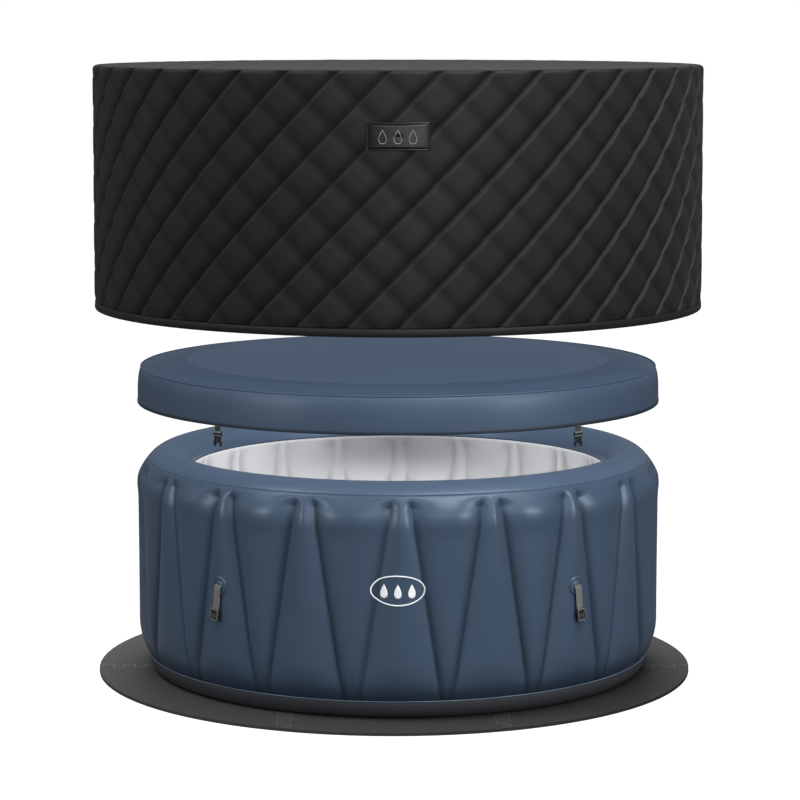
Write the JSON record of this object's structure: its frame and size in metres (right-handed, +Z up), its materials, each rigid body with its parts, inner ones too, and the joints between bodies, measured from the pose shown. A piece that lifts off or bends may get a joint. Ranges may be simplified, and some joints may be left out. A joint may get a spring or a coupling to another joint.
{
  "type": "inflatable hot tub",
  "caption": "Round inflatable hot tub on an interlocking foam mat, with a padded lid and a quilted thermal jacket raised above it.",
  "frame": {"origin": "on the floor under the middle of the tub", "axes": "+Z up; the front, with the oval badge, faces -Y; +X is to the right seen from the front"},
  "size_m": [2.134, 2.134, 2.1433],
  "materials": {
    "foam": "matt closed-cell foam with a fine grain",
    "tub_laminate": "satin laminated sheet",
    "lid_laminate": "satin laminated sheet, padded",
    "liner": "smooth satin liner",
    "badge_print": "printed, satin",
    "grey_webbing": "woven webbing",
    "black_webbing": "woven webbing",
    "buckle_plastic": "polished moulding",
    "quilted_shell": "quilted, stitched",
    "label_rubber": "glossy patch",
    "dark_plastic": "moulded, fine grain",
    "grey_plastic": "moulded",
    "board": "coated board",
    "heater_metal": "brushed",
    "filter_paper": "pleated paper"
  },
  "bodies": {
    "tub": {"mat_tile_front_left": "foam", "mat_tile_front_middle": "foam", "mat_tile_front_right": "foam", "mat_tile_back_left": "foam", "mat_tile_back_middle": "foam", "mat_tile_back_right": "foam", "tub_outer_wall": "tub_laminate", "tub_top_rim": "tub_laminate", "tub_inner_wall": "liner", "tub_floor": "liner", "wall_baffles": "tub_laminate", "air_jet_ring": "liner", "tub_badge": "badge_print", "inflation_valve": "dark_plastic", "drain_valve": "dark_plastic", "wall_patch_front_left": "tub_laminate", "wall_patch_front_right": "tub_laminate", "wall_patch_back_right": "tub_laminate", "wall_patch_back_left": "tub_laminate", "heater_housing": "grey_plastic", "service_cover": "dark_plastic", "control_panel": "dark_plastic", "circuit_board": "board", "power_inlet": "dark_plastic", "pump_body": "dark_plastic", "heater_tube": "heater_metal", "air_blower": "dark_plastic", "filter_base": "grey_plastic", "filter_cartridge": "filter_paper"},
    "lid": {"lid_cover": "lid_laminate", "lid_bladder": "lid_laminate", "lid_piping": "lid_laminate"},
    "jacket": {"jacket_side": "quilted_shell", "jacket_top": "quilted_shell", "jacket_hem": "quilted_shell", "jacket_label": "label_rubber"},
    "tub_strap_front_left": {"tub_strap_front_left": "grey_webbing", "buckle_socket_front_left": "buckle_plastic"},
    "lid_strap_front_left": {"lid_strap_front_left": "black_webbing", "buckle_plug_front_left": "buckle_plastic"},
    "tub_strap_front_right": {"tub_strap_front_right": "grey_webbing", "buckle_socket_front_right": "buckle_plastic"},
    "lid_strap_front_right": {"lid_strap_front_right": "black_webbing", "buckle_plug_front_right": "buckle_plastic"},
    "tub_strap_back_right": {"tub_strap_back_right": "grey_webbing", "buckle_socket_back_right": "buckle_plastic"},
    "lid_strap_back_right": {"lid_strap_back_right": "black_webbing", "buckle_plug_back_right": "buckle_plastic"},
    "tub_strap_back_left": {"tub_strap_back_left": "grey_webbing", "buckle_socket_back_left": "buckle_plastic"},
    "lid_strap_back_left": {"lid_strap_back_left": "black_webbing", "buckle_plug_back_left": "buckle_plastic"},
    "button_power": {"button_power": "grey_plastic"},
    "button_heat": {"button_heat": "grey_plastic"},
    "button_bubbles": {"button_bubbles": "grey_plastic"},
    "button_filter": {"button_filter": "grey_plastic"},
    "filter_cover": {"filter_cover": "grey_plastic"},
    "pump_impeller": {"pump_impeller": "grey_plastic"},
    "inflation_valve_cap": {"inflation_valve_cap": "dark_plastic"},
    "drain_valve_cap": {"drain_valve_cap": "dark_plastic"}
  },
  "joints": [
    {"name": "lid_lift", "type": "slide", "parent": "tub", "child": "lid", "axis": [0, 0, 1], "range_m": [-0.214, 0]},
    {"name": "jacket_lift", "type": "slide", "parent": "lid", "child": "jacket", "axis": [0, 0, 1], "range_m": [-1.0175, 0]},
    {"name": "tub_strap_front_left_swing", "type": "hinge", "parent": "tub", "child": "tub_strap_front_left", "pos_m": [-0.60036, -0.71549, 0.4313], "axis": [-0.766, 0.6428, 0], "range_deg": [0, 45]},
    {"name": "lid_strap_front_left_swing", "type": "hinge", "parent": "lid", "child": "lid_strap_front_left", "pos_m": [-0.59586, -0.71012, 0.964], "axis": [-0.766, 0.6428, 0], "range_deg": [0, 60]},
    {"name": "tub_strap_front_right_swing", "type": "hinge", "parent": "tub", "child": "tub_strap_front_right", "pos_m": [0.60036, -0.71549, 0.4313], "axis": [-0.766, -0.6428, 0], "range_deg": [0, 45]},
    {"name": "lid_strap_front_right_swing", "type": "hinge", "parent": "lid", "child": "lid_strap_front_right", "pos_m": [0.59586, -0.71012, 0.964], "axis": [-0.766, -0.6428, 0], "range_deg": [0, 60]},
    {"name": "tub_strap_back_right_swing", "type": "hinge", "parent": "tub", "child": "tub_strap_back_right", "pos_m": [0.60036, 0.71549, 0.4313], "axis": [0.766, -0.6428, 0], "range_deg": [0, 45]},
    {"name": "lid_strap_back_right_swing", "type": "hinge", "parent": "lid", "child": "lid_strap_back_right", "pos_m": [0.59586, 0.71012, 0.964], "axis": [0.766, -0.6428, 0], "range_deg": [0, 60]},
    {"name": "tub_strap_back_left_swing", "type": "hinge", "parent": "tub", "child": "tub_strap_back_left", "pos_m": [-0.60036, 0.71549, 0.4313], "axis": [0.766, 0.6428, 0], "range_deg": [0, 45]},
    {"name": "lid_strap_back_left_swing", "type": "hinge", "parent": "lid", "child": "lid_strap_back_left", "pos_m": [-0.59586, 0.71012, 0.964], "axis": [0.766, 0.6428, 0], "range_deg": [0, 60]},
    {"name": "button_power_press", "type": "slide", "parent": "tub", "child": "button_power", "axis": [0, -1, 0], "range_m": [0, 0.002], "stiffness_N_per_m": 250, "springref_m": -0.001},
    {"name": "button_heat_press", "type": "slide", "parent": "tub", "child": "button_heat", "axis": [0, -1, 0], "range_m": [0, 0.002], "stiffness_N_per_m": 250, "springref_m": -0.001},
    {"name": "button_bubbles_press", "type": "slide", "parent": "tub", "child": "button_bubbles", "axis": [0, -1, 0], "range_m": [0, 0.002], "stiffness_N_per_m": 250, "springref_m": -0.001},
    {"name": "button_filter_press", "type": "slide", "parent": "tub", "child": "button_filter", "axis": [0, -1, 0], "range_m": [0, 0.002], "stiffness_N_per_m": 250, "springref_m": -0.001},
    {"name": "filter_cover_twist", "type": "hinge", "parent": "tub", "child": "filter_cover", "pos_m": [-0.08, 0.7, 0.3423], "axis": [0, 1, 0], "range_deg": [0, 30]},
    {"name": "pump_spin", "type": "hinge", "parent": "tub", "child": "pump_impeller", "pos_m": [-0.08, 0.79, 0.3423], "axis": [0, 1, 0], "continuous": true},
    {"name": "inflation_valve_cap_turn", "type": "hinge", "parent": "tub", "child": "inflation_valve_cap", "pos_m": [-0.39515, 0.8474, 0.5123], "axis": [-0.4226, 0.9063, 0], "range_deg": [0, 90]},
    {"name": "drain_valve_cap_turn", "type": "hinge", "parent": "tub", "child": "drain_valve_cap", "pos_m": [0.39515, 0.8474, 0.2023], "axis": [0.4226, 0.9063, 0], "range_deg": [0, 90]}
  ]
}
